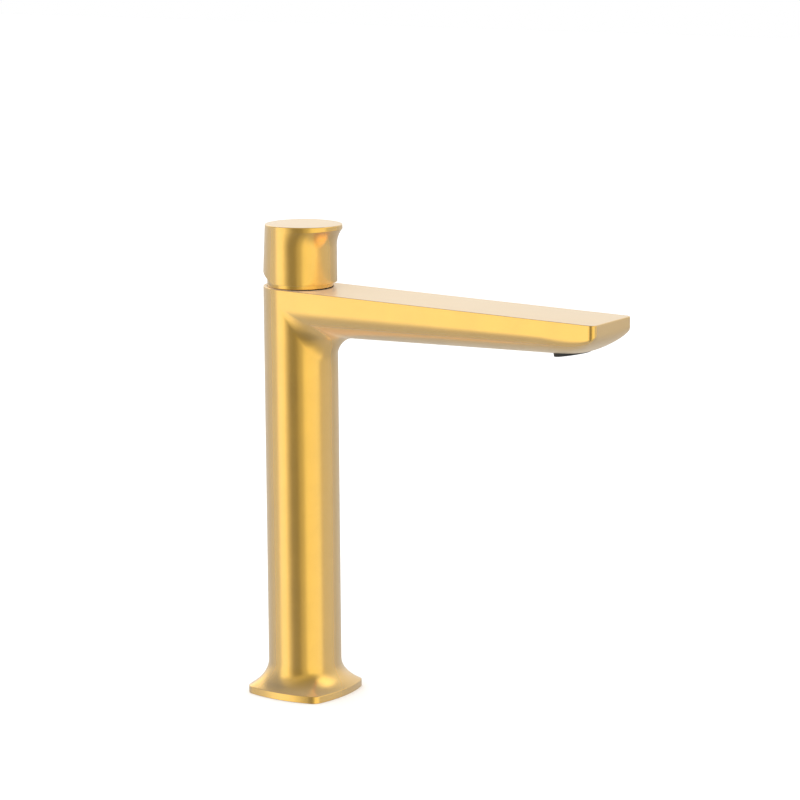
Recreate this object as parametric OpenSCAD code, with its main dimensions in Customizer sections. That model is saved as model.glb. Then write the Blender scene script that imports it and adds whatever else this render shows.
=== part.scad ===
// Tall single lever basin mixer.
// Millimetres, +Z up. The origin is on the deck, on the column's axis, and the spout points along -Y.
// The lever turns about Z for temperature, and tilts back about X for flow.

/* [Column] */
// Diameter of the upright column
column_d = 46; // [44:0.5:60]
// Height of the body's top on the column's axis
body_h = 259; // [180:1:320]
// Diameter of the hollow that the hoses run in
hose_way_d = 39; // [36:0.5:39.5]

/* [Base] */
// Half the width of the foot, to the middle of a side
foot_half_w = 30.5; // [30:0.5:40]
// Radius of the gentle bow of each side of the foot
foot_side_r = 85; // [60:1:200]
// Radius of the foot's corners
foot_corner_r = 7; // [4:0.5:10]
// Height of the foot's upright edge
foot_t = 4.5; // [3:0.5:8]
// Height at which the flare has run out into the column
flare_top = 20.5; // [14:0.5:40]
// Angle that the flare's hollow curve turns through
flare_turn = 52; // [30:1:80]
// Outer radius of the sealing ring under the foot
gasket_r = 27.5; // [26:0.1:28]
// Width of the sealing ring
gasket_w = 4; // [2:0.1:5]
// Thickness of the sealing ring
gasket_t = 1.5; // [1:0.1:2.5]
// Distance of the fixing stud from the axis
stud_y = 13.5; // [13:0.1:14.5]
// Radius of the hole for the fixing stud
stud_hole_r = 3.4; // [2.5:0.1:4]
// Thickness of metal round the stud's hole
stud_wall = 3; // [2:0.1:3.2]
// Depth of the stud's hole
stud_depth = 14; // [8:1:20]

/* [Spout] */
// Reach from the column's axis to the tip
spout_reach = 221.5; // [120:0.5:280]
// Width of the spout
spout_w = 45.8; // [40:0.1:45.9]
// Fall of the top towards the tip, in degrees
spout_fall = 1.2; // [0:0.1:3]
// Depth of the spout where it leaves the column
root_depth = 29.6; // [28:0.1:40]
// Depth of the spout where its nose begins
end_depth = 22.4; // [21:0.1:28]
// Height of the flat side where the spout leaves the column
root_side = 10.5; // [8:0.1:14]
// Height of the flat side where the nose begins
end_side = 8.6; // [6:0.1:10]
// Length of the rounded nose
nose_len = 36; // [24:1:38]
// Depth left at the very tip
tip_depth = 6.4; // [6:0.1:8]
// Height of the flat side at the very tip
tip_side = 5.6; // [3:0.1:6.2]
// Squareness of the underside at the tip: 1 is an ellipse, and less is squarer
tip_squareness = 0.45; // [0.3:0.05:1]
// Radius of the tip's two corners, seen from above
tip_corner_r = 3.5; // [2:0.5:9]
// Radius of the fillet between the spout's underside and the column
inner_fillet_r = 18; // [3:0.5:24]
// Thickness of metal round the spout's waterway
spout_wall = 3.2; // [2:0.1:5]
// Distance from the column to the start of the spout's waterway
waterway_start = 4; // [3:0.5:6]

/* [Waterways] */
// Thickness of the block that carries the inlets
block_t = 19; // [17:0.5:26]
// Radius of the two threaded inlets
inlet_r = 4.5; // [3.5:0.1:4.6]
// Distance of an inlet from the middle
inlet_x = 9.5; // [9:0.1:10.5]
// Distance of the inlets in front of the axis
inlet_y = 4.5; // [3:0.1:5]
// Depth of the inlets' thread
inlet_depth = 12; // [8:0.5:14]
// Radius of the two supply ports at the cartridge
supply_port_r = 2.5; // [2:0.1:2.6]
// Distance of a supply port from the middle
supply_x = 7.5; // [7:0.1:8]
// Distance of the supply ports in front of the axis
supply_y = 3.5; // [3:0.1:4]
// Radius of the mixed water's port
mixed_port_r = 3; // [2:0.1:3.2]
// Distance of the mixed water's port behind the axis
mixed_y = 7; // [6.5:0.1:8]
// Radius of the duct that leads to the spout
duct_r = 3.5; // [2.5:0.1:3.6]
// Height from the duct's start to the cartridge's floor
duct_drop = 9.5; // [9:0.1:12]
// Rise of the duct towards the spout, in degrees
duct_rise = 10; // [8:0.5:12]

/* [Cartridge] */
// Outer radius of the cartridge
cartridge_r = 17.45; // [17:0.05:17.7]
// Height of the cartridge's base plate
cart_base_h = 4; // [3.5:0.1:6]
// Height of the rim that holds the fixed disc
disc_rim_h = 2.4; // [1:0.1:2.8]
// Radius of the fixed disc
fixed_disc_r = 14.5; // [14:0.1:15]
// Radius of the moving disc
moving_disc_r = 13; // [12:0.1:13.4]
// Distance of the moving disc behind the axis when shut
disc_offset = 2; // [1.5:0.1:2.4]
// Thickness of each ceramic disc
disc_t = 3; // [2.5:0.1:4]
// Width of the hollow under the moving disc
mixing_w = 18; // [17:0.1:18.5]
// Length of the hollow under the moving disc
mixing_l = 9; // [8.4:0.1:9.5]
// Distance of that hollow behind the axis when shut
mixing_y = 5.5; // [5.2:0.1:6]
// Depth of the hollow under the moving disc
mixing_depth = 1.6; // [1:0.1:2]
// Radius of the carrier on the moving disc
carrier_r = 12; // [11:0.1:12.6]
// Height of the carrier
carrier_h = 6.9; // [6:0.1:8]
// Width of the carrier's upper part between the guide's rails
carrier_w = 17.6; // [15:0.1:18.5]
// Radius of the ball on the spindle's lower end
ball_r = 2.6; // [2:0.1:2.8]
// How much wider the mouth of the ball's well is than its lower part
mouth_flare = 1.7; // [1.2:0.1:1.9]
// Height of that mouth over the ball's middle
mouth_rise = 1; // [0.6:0.1:1.2]
// Thickness of the carrier under the ball
ball_floor = 0.6; // [0.4:0.1:1]
// Radius of the pegs between the carrier and the moving disc
peg_r = 1.2; // [1:0.1:1.3]
// Height of those pegs
peg_h = 1.2; // [0.8:0.1:1.5]
// Distance of such a peg from the middle
peg_x = 8.6; // [8:0.1:9.2]
// Radius of the key pegs under the base plate
key_peg_r = 1.5; // [1:0.1:1.6]
// Height of the key pegs
key_peg_h = 2; // [1:0.1:3]
// Distance of a key peg from the middle
key_peg_x = 13.5; // [13:0.1:14]
// Distance of the key pegs behind the axis
key_peg_y = 3; // [2.5:0.1:3.5]
// Thickness of the swivel guide's flange
guide_flange_h = 1.3; // [1:0.1:2]
// Radius of the swivel guide's flange
guide_flange_r = 15.5; // [14.8:0.1:15.7]
// Height from the guide's flange to the pivot
pivot_over_flange = 4.03; // [3.6:0.01:6]
// Radius of the swivel guide's neck
guide_neck_r = 13.04; // [12:0.01:13.4]
// Height of the guide's neck above the pivot
guide_above_pivot = 6.3; // [4:0.1:7]
// Thickness of the guide's rails
rail_t = 2.4; // [1.5:0.1:2.5]
// Length of the guide's rails
rail_l = 18; // [14:0.5:18.5]
// How far the rails reach below the flange
rail_drop = 3.1; // [2:0.1:3.6]
// Radius of the pivot pin
pin_r = 1.5; // [1.2:0.05:2]
// Length of the pivot pin
pin_len = 25; // [18:0.5:26]
// Thickness of the housing's side
housing_wall = 1; // [0.8:0.05:1.2]
// Step from the housing's foot in to its side
housing_step = 0.55; // [0.4:0.05:0.8]
// Thickness of the housing's neck
housing_neck_wall = 1.3; // [1:0.05:2]
// Thickness of the housing's shoulder
shoulder_t = 1.5; // [1:0.1:2]
// Height of the housing's foot, which the nut presses on
housing_foot_h = 4.8; // [3:0.1:6]
// Radius of the round section of the seals
seal_r = 0.75; // [0.6:0.05:0.8]

/* [Nut and dome] */
// Outer radius of the retaining nut's thread
nut_thread_r = 18.9; // [18.7:0.05:19.5]
// Thickness of the nut's flange
nut_flange_t = 0.6; // [0.4:0.1:1]
// Radius of the nut's flange
nut_flange_r = 19.6; // [19.5:0.1:20.2]
// Depth of the level seat cut into the sloping top
seat_drop = 0.6; // [0.5:0.1:1]
// Outer radius of the dome
dome_r = 20.6; // [20:0.1:20.8]
// Thickness of the dome
dome_wall = 2; // [1.5:0.1:2.2]
// Radius of the opening in the top of the dome
dome_opening_r = 15.8; // [15:0.1:16.5]

/* [Lever] */
// Height of the pivot over the body's top
pivot_rise = 4.5; // [4.2:0.1:6]
// Gap between the body's top and the lever's skirt
skirt_gap = 2.8; // [2.4:0.1:4]
// Height of the lever
lever_h = 36.2; // [34:0.1:50]
// How far the lever tilts back, in degrees
lever_tilt = 25; // [15:1:25]
// Diameter of the lever's skirt
lever_d = 46; // [46:0.5:60]
// Height of the straight skirt below the lip's hollow
lip_start = 22.5; // [18:0.1:25]
// Height of the lip's lower edge
lip_edge = 33.3; // [30:0.1:33.4]
// How far the lip stands out in front
lip_out = 5; // [2:0.1:8]
// Angle that the lip's hollow curve turns through
lip_turn = 40; // [30:1:80]
// How far the back leans in at the top
back_lean = 2.1; // [0:0.1:3]
// Height at which the back begins to lean in
lean_start = 6; // [2:0.1:10]
// Distance behind the axis at which the tilt relief begins
relief_start = 4.9; // [3:0.1:6]
// How much steeper that relief is than the lever's tilt, in degrees
relief_spare = 1.6; // [1:0.1:5]
// Width of the bevel round the lever's top
lever_bevel = 0.5; // [0.2:0.1:1]
// Radius of the boss round the spindle
boss_r = 7.5; // [7:0.1:8]
// Height of the boss's lower end over the pivot
boss_rise = 15.5; // [14:0.1:18]
// Width across the flats of the spindle
spindle_w = 8; // [7:0.1:8.5]
// Height of the spindle's top over the pivot
spindle_rise = 30.5; // [28:0.1:31]
// How far the spindle's square part reaches below the pivot
square_drop = 3.6; // [3:0.1:3.7]
// Height of the taper below the square part
taper_h = 1.4; // [1:0.1:1.5]
// Radius of the spindle's lower shank
shank_r = 1.9; // [1.6:0.1:2]
// Height of the grub screw over the pivot
grub_rise = 25.5; // [25:0.1:26]
// Radius of the grub screw
grub_r = 2.45; // [1.9:0.05:2.5]
// Length of the grub screw
grub_len = 8; // [6:0.5:10]
// Width across the corners of the grub screw's socket
grub_key = 2.9; // [2:0.1:3]
// Depth of the grub screw's socket
grub_key_depth = 3; // [2:0.5:4]
// Radius of the plug over the grub screw
plug_r = 3.2; // [3:0.1:4]
// Thickness of the plug
plug_t = 1.8; // [1:0.1:3]

/* [Aerator] */
// Distance of the aerator's face behind the spout's tip
aerator_back = 27; // [24:0.1:30]
// Angle between the aerator and the upright, in degrees
aerator_tilt = 10; // [0:0.1:16]
// How far the middle of the face stands below the spout
aerator_drop = 0.4; // [0:0.05:1]
// Radius of the aerator's housing
aerator_r = 11.2; // [9.5:0.1:11.5]
// Height of the aerator's housing
aerator_h = 7.8; // [7:0.1:9]
// Thickness of the housing's side
aerator_wall = 1.6; // [1:0.1:2]
// Width of the lip that holds the screen in
screen_lip = 0.8; // [0.5:0.1:1.5]
// Height of that lip
screen_lip_h = 1.2; // [0.8:0.1:1.5]
// Thickness of the screen
screen_t = 0.8; // [0.5:0.1:1]
// Radius of each hole in the screen
screen_hole_r = 0.9; // [0.5:0.1:1.1]
// Distance between the screen's holes
screen_pitch = 2.6; // [2.5:0.1:3]
// Thickness of the flow regulator
regulator_t = 4.2; // [3:0.1:4.5]
// Radius of each hole in the flow regulator
regulator_hole_r = 1.2; // [0.8:0.1:1.6]
// Distance of its outer holes from the middle
regulator_pitch = 6.4; // [5:0.1:7]
// Thickness of the aerator's seal
aerator_seal_t = 1.2; // [1:0.1:1.6]
// Width of the aerator's seal
aerator_seal_w = 2.4; // [1.5:0.1:3]
// Height of the throat over the seal
throat_h = 4.5; // [3:0.1:5]
// Radius of the link between that throat and the spout's waterway
link_r = 3.5; // [2.5:0.1:3.6]

/* [Fits] */
// Radial clearance of a running fit
running_gap = 0.05; // [0.02:0.01:0.09]
// Radial clearance between a thread and its hole
thread_gap = 0.1; // [0.05:0.01:0.2]
// Clearance between parts that slide on flat faces
slide_gap = 0.2; // [0.1:0.05:0.3]
// Gap of the water film between the ceramic discs
film_gap = 0.02; // [0.01:0.01:0.05]
// Radial clearance of the cartridge in its chamber
chamber_gap = 0.3; // [0.2:0.05:0.4]
// Gap between the dome and the inside of the lever
dome_gap = 0.6; // [0.5:0.05:0.8]

/* [Hidden] */
$fn = 64;

// Steps of the smooth shells
RING_STEPS = 96;
LEVER_STEPS = 64;
BOTTOM_STEPS = 16;
CURVE_STEPS = 6;
FILLET_STEPS = 17;

// Angle from the middle at which the inner fillet has run out
FILLET_END = 85;

// Overlaps that keep joined shells and cut ends clear of each other
SINK = 0.1;
PAST = 1;
PROUD = 3;
SPOUT_ROOT = 12;

column_r = column_d / 2;
hose_way_r = hose_way_d / 2;
spout_half_w = spout_w / 2;
nose_start = spout_reach - nose_len;

// Heights of the cartridge's stack, from its floor up to the pivot
pivot_z = body_h + pivot_rise;
flange_z = pivot_z - pivot_over_flange - guide_flange_h;
carrier_z = flange_z - slide_gap - carrier_h;
moving_z = carrier_z - disc_t;
fixed_z = moving_z - film_gap - disc_t;
floor_z = fixed_z - cart_base_h;
block_z = floor_z - block_t;
ceiling_z = flange_z + guide_flange_h + thread_gap;
foot_top_z = fixed_z + housing_foot_h;
seat_z = body_h - seat_drop;
dome_z = seat_z + nut_flange_t;

chamber_r = cartridge_r + chamber_gap;
housing_upper_r = cartridge_r - housing_step;
housing_bore_r = housing_upper_r - housing_wall;
neck_bore_r = guide_neck_r + running_gap;
nut_bore_r = housing_upper_r + thread_gap;
nut_bore_in_body = nut_thread_r + thread_gap;
dome_inner_r = dome_r - dome_wall;
cavity_r = dome_r + dome_gap;

ball_z = carrier_z + ball_floor + slide_gap + ball_r;
socket_r = ball_r + slide_gap;

// Half the length of the slot in the guide, so that the spindle clears it at its full tilt
slot_half_l = spindle_w / 2 / cos(lever_tilt) + guide_above_pivot * tan(lever_tilt) + 2 * slide_gap;

skirt_z = body_h + skirt_gap;
lever_r = lever_d / 2;
aerator_y = spout_reach - aerator_back;
bore_r = aerator_r + thread_gap;
bore_h = aerator_h + aerator_seal_t;

// Height of the sloping top over a point at distance d in front of the axis
function top_z(d) = body_h - d * tan(spout_fall);

// How far along the nose a point lies, as the height of a quarter ellipse
function nose_rise(d) = d <= nose_start ? 1 : sqrt(max(0, 1 - pow((d - nose_start) / nose_len, 2)));

// How far along the straight part of the spout a point lies, from 0 to 1
function along(d) = min(1, (d - column_r) / (nose_start - column_r));

function spout_depth(d) =
    tip_depth + (root_depth + (end_depth - root_depth) * along(d) - tip_depth) * nose_rise(d);

function spout_side(d) =
    tip_side + (root_side + (end_side - root_side) * along(d) - tip_side) * nose_rise(d);

function spout_half(d) =
    let (into = d - spout_reach + tip_corner_r)
    into <= 0
        ? spout_half_w
        : spout_half_w - tip_corner_r + sqrt(max(0, pow(tip_corner_r, 2) - pow(into, 2)));

// Squareness of the underside, which changes along the nose
function squareness(d) = 1 - (1 - tip_squareness) * max(0, d - nose_start) / nose_len;

// A section of the spout, inset by a wall, with its top raised by rise
function spout_ring(d, inset, rise) =
    let (w = spout_half(d) - inset)
    let (edge_z = top_z(d) - spout_side(d))
    let (bow = spout_depth(d) - spout_side(d) - inset)
    let (step = 180 / BOTTOM_STEPS)
    concat(
        [[w, -d, top_z(d) - inset + rise], [-w, -d, top_z(d) - inset + rise]],
        [for (a = [-90 : step : 90]) [w * sin(a), -d, edge_z - bow * pow(cos(a), squareness(d))]]
    );

// Distance from the axis to the foot's edge, a bowed square with round corners
foot_d = foot_side_r - foot_half_w;
corner_k = (-foot_d + sqrt(2 * pow(foot_side_r - foot_corner_r, 2) - pow(foot_d, 2))) / 2;
corner_from = atan2(corner_k, corner_k + foot_d * foot_corner_r / foot_side_r);
function foot_r(a) =
    let (u = abs((a + 45) % 90 - 45))
    u < corner_from
        ? sqrt(pow(foot_side_r, 2) - pow(foot_d * sin(u), 2)) - foot_d * cos(u)
        : corner_k * (cos(u) + sin(u))
            + sqrt(pow(foot_corner_r, 2) - pow(corner_k * (cos(u) - sin(u)), 2));

// A solid through a list of rings, each with the same number of points, right-handed about the way they go
module loft(rings) {
    n = len(rings[0]);
    last = len(rings) - 1;
    sides = [for (i = [0 : last - 1], j = [0 : n - 1])
        let (a = i * n + j, b = i * n + (j + 1) % n) each [[a, b + n, b], [a, a + n, b + n]]];
    start_cap = [for (j = [1 : n - 2]) [0, j, j + 1]];
    end_cap = [for (j = [1 : n - 2]) [last * n, last * n + j + 1, last * n + j]];
    polyhedron(points = [for (ring = rings) each ring], faces = concat(sides, start_cap, end_cap));
}

// A ring of rectangular section
module washer(outer_r, inner_r, h) {
    difference() {
        cylinder(r = outer_r, h = h);
        translate([0, 0, -PAST]) cylinder(r = inner_r, h = h + 2 * PAST);
    }
}

// A ring of round section
module o_ring(middle_r, section_r) {
    rotate_extrude() translate([middle_r, 0]) circle(r = section_r);
}

// Half a ball on a short straight skirt, solid, about the pivot
module bell(r, drop) {
    rotate_extrude() union() {
        intersection() {
            circle(r = r);
            square([r, r]);
        }
        translate([0, -drop]) square([r, drop]);
    }
}

module at_supplies(x, y) {
    for (side = [-1, 1]) translate([side * x, -y, 0]) children();
}

module at_ports() {
    at_supplies(supply_x, supply_y) children();
    translate([0, mixed_y, 0]) children();
}

module at_aerator() {
    translate([0, -aerator_y, top_z(aerator_y) - spout_depth(aerator_y) - aerator_drop])
        rotate([-aerator_tilt, 0, 0]) children();
}

// The body: column, flared foot and spout in one brass casting

module foot_plate() {
    linear_extrude(foot_t)
        polygon([for (i = [1 : RING_STEPS])
            let (a = 360 * i / RING_STEPS)
            foot_r(a) * [cos(a), sin(a)]]);
}

// The hollow curve is an arc, stretched to reach the foot's edge all round
module foot_flare() {
    full = 1 - cos(flare_turn);
    turns = [for (i = [0 : CURVE_STEPS]) flare_turn * (1 - i / CURVE_STEPS)];
    rise = flare_top - foot_t;
    heights = concat([foot_t - PAST], [for (b = turns) flare_top - rise * sin(b) / sin(flare_turn)]);
    shares = concat([1], [for (b = turns) (1 - cos(b)) / full]);
    loft([for (i = [0 : len(heights) - 1]) [for (j = [1 : RING_STEPS])
        let (a = 360 * j / RING_STEPS)
        let (r = column_r - SINK + (foot_r(a) - SINK - column_r) * shares[i])
        [r * cos(a), r * sin(a), heights[i]]]]);
}

module spout_shell() {
    places = concat([column_r - SPOUT_ROOT, column_r, (column_r + nose_start) / 2],
        [for (i = [0 : CURVE_STEPS]) nose_start + nose_len * sin(90 * i / CURVE_STEPS)]);
    loft([for (d = places) spout_ring(d, 0, PROUD)]);
}

// The fillet is as wide as fits at the middle, and runs out to nothing at the sides
module inner_fillet() {
    loft([for (i = [0 : FILLET_STEPS])
        let (a = FILLET_END * (2 * i / FILLET_STEPS - 1))
        let (x = spout_half_w * sin(a), front = column_r * cos(a), r = inner_fillet_r * cos(a))
        let (d = front + r)
        let (bow = spout_depth(d) - spout_side(d))
        let (under = top_z(d) - spout_side(d) - bow * cos(a) + SINK / 2)
        concat(
            [[x, PAST - front, under + PAST], [x, -d, under + PAST]],
            [for (b = [90 : -90 / CURVE_STEPS : 0])
                [x, SINK / 2 - d + r * cos(b), under - r + r * sin(b)]],
            [[x, PAST - front, under - r]]
        )]);
}

module waterways() {
    duct_l = mixed_port_r + (mixed_y + column_r + waterway_start + PAST) / cos(duct_rise);
    at_supplies(inlet_x, inlet_y)
        translate([0, 0, block_z - PAST]) cylinder(r = inlet_r, h = inlet_depth + PAST);
    at_supplies(supply_x, supply_y)
        translate([0, 0, block_z + inlet_depth - PAST])
            cylinder(r = supply_port_r, h = block_t - inlet_depth + 2 * PAST);
    translate([0, mixed_y, floor_z - duct_drop]) {
        cylinder(r = mixed_port_r, h = duct_drop + PAST);
        rotate([90 - duct_rise, 0, 0])
            translate([0, 0, -mixed_port_r])
                cylinder(r = duct_r, h = duct_l);
    }
    at_supplies(key_peg_x, -key_peg_y)
        translate([0, 0, floor_z - key_peg_h - slide_gap])
            cylinder(r = key_peg_r + running_gap, h = key_peg_h + slide_gap + PAST);
}

module spout_waterway() {
    start_d = column_r + waterway_start;
    end_d = aerator_y - bore_r - spout_wall;
    throat_z = bore_h + throat_h / 2;
    loft([for (d = [start_d, end_d]) spout_ring(d, spout_wall, 0)]);
    at_aerator() {
        translate([0, 0, -PROUD - PAST]) cylinder(r = bore_r, h = bore_h + PROUD + PAST);
        cylinder(r = bore_r - spout_wall, h = bore_h + throat_h);
        translate([0, 0, throat_z])
            rotate([aerator_tilt - 90, 0, 0])
                cylinder(r = link_r, h = bore_r + 2 * spout_wall);
    }
}

module cartridge_chamber() {
    translate([0, 0, floor_z]) cylinder(r = chamber_r, h = body_h);
    translate([0, 0, foot_top_z - chamber_gap]) cylinder(r = nut_bore_in_body, h = body_h);
    translate([0, 0, seat_z]) cylinder(r = dome_r + chamber_gap, h = body_h);
}

module body() {
    color("#c9a45c") difference() {
        union() {
            difference() {
                union() {
                    cylinder(r = column_r, h = body_h + PROUD);
                    foot_plate();
                    foot_flare();
                    spout_shell();
                    inner_fillet();
                }
                translate([0, 0, -PAST]) cylinder(r = hose_way_r, h = block_z + PAST);
            }
            translate([0, -stud_y, gasket_t])
                cylinder(r = stud_hole_r + stud_wall, h = stud_depth + stud_wall);
        }
        translate([0, 0, body_h])
            rotate([spout_fall, 0, 0])
                translate([-column_d, -2 * spout_reach, 0])
                    cube([2 * column_d, 3 * spout_reach, 2 * lever_h]);
        translate([0, -stud_y, -PAST]) cylinder(r = stud_hole_r, h = stud_depth + gasket_t + PAST);
        translate([0, 0, -PAST]) washer(gasket_r, gasket_r - gasket_w, gasket_t + PAST);
        waterways();
        spout_waterway();
        cartridge_chamber();
    }
}

module base_gasket() {
    color("#222222") washer(gasket_r, gasket_r - gasket_w, gasket_t);
}

// The cartridge

// The base has a groove round its edge, and a pocket for a seal under each port
module cartridge_base() {
    pocket_r = supply_port_r + 2 * seal_r;
    color("#e8e4da") difference() {
        union() {
            translate([0, 0, floor_z]) cylinder(r = cartridge_r - running_gap, h = cart_base_h);
            translate([0, 0, fixed_z])
                washer(housing_bore_r - running_gap, fixed_disc_r, disc_rim_h);
            at_supplies(key_peg_x, -key_peg_y)
                translate([0, 0, floor_z - key_peg_h]) cylinder(r = key_peg_r, h = key_peg_h + PAST);
        }
        translate([0, 0, floor_z - PAST]) {
            at_supplies(supply_x, supply_y) cylinder(r = supply_port_r, h = cart_base_h + 2 * PAST);
            translate([0, mixed_y, 0]) cylinder(r = mixed_port_r, h = cart_base_h + 2 * PAST);
            at_ports() cylinder(r = pocket_r + seal_r, h = 2 * seal_r + PAST);
        }
        translate([0, 0, floor_z + cart_base_h / 2 - seal_r])
            washer(cartridge_r + PAST, chamber_r - 2 * seal_r, 2 * seal_r);
    }
}

module cartridge_seal() {
    color("#222222") translate([0, 0, floor_z + cart_base_h / 2])
        o_ring(chamber_r - seal_r, seal_r);
}

module port_seals() {
    color("#222222") translate([0, 0, floor_z + seal_r]) at_ports()
        o_ring(supply_port_r + 2 * seal_r, seal_r);
}

module fixed_disc() {
    color("#f4f2ec") translate([0, 0, fixed_z]) difference() {
        cylinder(r = fixed_disc_r, h = disc_t);
        translate([0, 0, -PAST]) {
            at_supplies(supply_x, supply_y) cylinder(r = supply_port_r, h = disc_t + 2 * PAST);
            translate([0, mixed_y, 0]) cylinder(r = mixed_port_r, h = disc_t + 2 * PAST);
        }
    }
}

module mixing_hollow() {
    end_x = (mixing_w - mixing_l) / 2;
    linear_extrude(mixing_depth + PAST) union() {
        for (side = [-1, 1]) translate([side * end_x, 0]) circle(r = mixing_l / 2);
        translate([-end_x, -mixing_l / 2]) square([2 * end_x, mixing_l]);
    }
}

module moving_disc() {
    color("#f4f2ec") difference() {
        translate([0, disc_offset, moving_z]) cylinder(r = moving_disc_r, h = disc_t);
        translate([0, mixing_y, moving_z - PAST]) mixing_hollow();
        at_supplies(peg_x, -disc_offset)
            translate([0, 0, carrier_z - peg_h - film_gap])
                cylinder(r = peg_r + running_gap, h = peg_h + PAST);
    }
}

// The carrier holds the ball in a well, and slides between the guide's rails
module disc_carrier() {
    mouth_r = socket_r + mouth_flare;
    collar_h = carrier_h - rail_drop - slide_gap;
    color("#d9d4c6") difference() {
        union() {
            translate([0, disc_offset, carrier_z]) cylinder(r = carrier_r, h = collar_h);
            intersection() {
                translate([0, disc_offset, carrier_z]) cylinder(r = carrier_r, h = carrier_h);
                translate([-carrier_w / 2, -carrier_r, carrier_z])
                    cube([carrier_w, 3 * carrier_r, carrier_h]);
            }
            at_supplies(peg_x, -disc_offset)
                translate([0, 0, carrier_z - peg_h]) cylinder(r = peg_r, h = peg_h + PAST);
        }
        translate([0, 0, carrier_z + ball_floor]) cylinder(r = socket_r, h = carrier_h);
        translate([0, 0, ball_z + mouth_rise]) cylinder(r = mouth_r, h = carrier_h);
    }
}

module swivel_guide() {
    rail_x = carrier_w / 2 + slide_gap;
    neck_h = pivot_over_flange + guide_above_pivot;
    color("#e8e4da") difference() {
        union() {
            translate([0, 0, flange_z]) cylinder(r = guide_flange_r, h = guide_flange_h);
            translate([0, 0, flange_z]) cylinder(r = guide_neck_r, h = guide_flange_h + neck_h);
            for (x = [rail_x, -rail_x - rail_t])
                translate([x, -rail_l / 2, flange_z - rail_drop])
                    cube([rail_t, rail_l, rail_drop + guide_flange_h]);
        }
        translate([-spindle_w / 2 - thread_gap, -slot_half_l, flange_z - PAST])
            cube([spindle_w + 2 * thread_gap, 2 * slot_half_l, neck_h + 2 * PAST + guide_flange_h]);
        translate([-cartridge_r, 0, pivot_z]) rotate([0, 90, 0]) cylinder(r = pin_r, h = 2 * cartridge_r);
        translate([0, 0, pivot_z + guide_above_pivot - 4 * seal_r])
            washer(guide_neck_r + PAST, neck_bore_r - 2 * seal_r, 2 * seal_r);
    }
}

module guide_seal() {
    color("#222222") translate([0, 0, pivot_z + guide_above_pivot - 3 * seal_r])
        o_ring(neck_bore_r - running_gap / 2 - seal_r, seal_r - running_gap / 2);
}

module pivot_pin() {
    color("#9a9a9a") translate([-pin_len / 2, 0, pivot_z]) rotate([0, 90, 0])
        cylinder(r = pin_r, h = pin_len);
}

module cartridge_housing() {
    neck_r = neck_bore_r + housing_neck_wall;
    neck_top = pivot_z + guide_above_pivot;
    color("#f0ede4") difference() {
        union() {
            translate([0, 0, fixed_z]) cylinder(r = cartridge_r, h = housing_foot_h);
            translate([0, 0, fixed_z])
                cylinder(r = housing_upper_r, h = ceiling_z + shoulder_t - fixed_z);
            translate([0, 0, ceiling_z]) cylinder(r = neck_r, h = neck_top - ceiling_z);
        }
        translate([0, 0, fixed_z - PAST]) cylinder(r = housing_bore_r, h = ceiling_z - fixed_z + PAST);
        translate([0, 0, fixed_z]) cylinder(r = neck_bore_r, h = body_h);
    }
}

// The nut presses the cartridge down, and carries the dome
module retaining_nut() {
    color("#b08d4a") difference() {
        union() {
            translate([0, 0, foot_top_z]) cylinder(r = nut_thread_r, h = seat_z - foot_top_z);
            translate([0, 0, seat_z]) cylinder(r = nut_flange_r, h = nut_flange_t);
            translate([0, 0, seat_z]) cylinder(r = dome_inner_r, h = pivot_z - slide_gap - seat_z);
        }
        translate([0, 0, floor_z]) cylinder(r = nut_bore_r, h = body_h);
    }
}

module dome() {
    drop = pivot_z - dome_z;
    color("#c9a45c") translate([0, 0, pivot_z]) difference() {
        bell(dome_r, drop);
        bell(dome_inner_r, drop + PAST);
        cylinder(r = dome_opening_r, h = 2 * dome_r);
    }
}

// The lever and what turns with it

module spindle() {
    taper_r = spindle_w / 2 - 2 * slide_gap;
    color("#c8a860") difference() {
        union() {
            translate([-spindle_w / 2, -spindle_w / 2, pivot_z - square_drop])
                cube([spindle_w, spindle_w, spindle_rise + square_drop]);
            translate([0, 0, pivot_z - square_drop - taper_h])
                cylinder(r1 = shank_r, r2 = taper_r, h = taper_h);
            translate([0, 0, ball_z]) cylinder(r = shank_r, h = pivot_z - square_drop - ball_z);
            translate([0, 0, ball_z]) sphere(r = ball_r);
        }
        translate([-spindle_w, 0, pivot_z]) rotate([0, 90, 0])
            cylinder(r = pin_r + running_gap, h = 2 * spindle_w);
    }
}

// Two half ellipses, one in front that swells into the lip, and one behind that leans in
function lever_front(h) =
    h <= lip_start ? lever_r
    : h >= lip_edge ? lever_r + lip_out
    : let (b = asin(sin(lip_turn) * (h - lip_start) / (lip_edge - lip_start)))
        lever_r + lip_out * (1 - cos(b)) / (1 - cos(lip_turn));

function lever_back(h) = lever_r - back_lean * max(0, h - lean_start) / (lever_h - lean_start);

function lever_ring(h, inset) =
    [for (i = [1 : LEVER_STEPS])
        let (a = 360 * i / LEVER_STEPS)
        [(lever_r - inset) * cos(a),
         ((sin(a) < 0 ? lever_front(h) : lever_back(h)) - inset) * sin(a),
         skirt_z + h]];

module lever_shell() {
    turns = [for (i = [0 : CURVE_STEPS]) lip_turn * i / CURVE_STEPS];
    hollow = [for (b = turns) lip_start + (lip_edge - lip_start) * sin(b) / sin(lip_turn)];
    heights = concat([0, lean_start], hollow, [lever_h - lever_bevel]);
    loft(concat([for (h = heights) lever_ring(h, 0)], [lever_ring(lever_h, lever_bevel)]));
}

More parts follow.
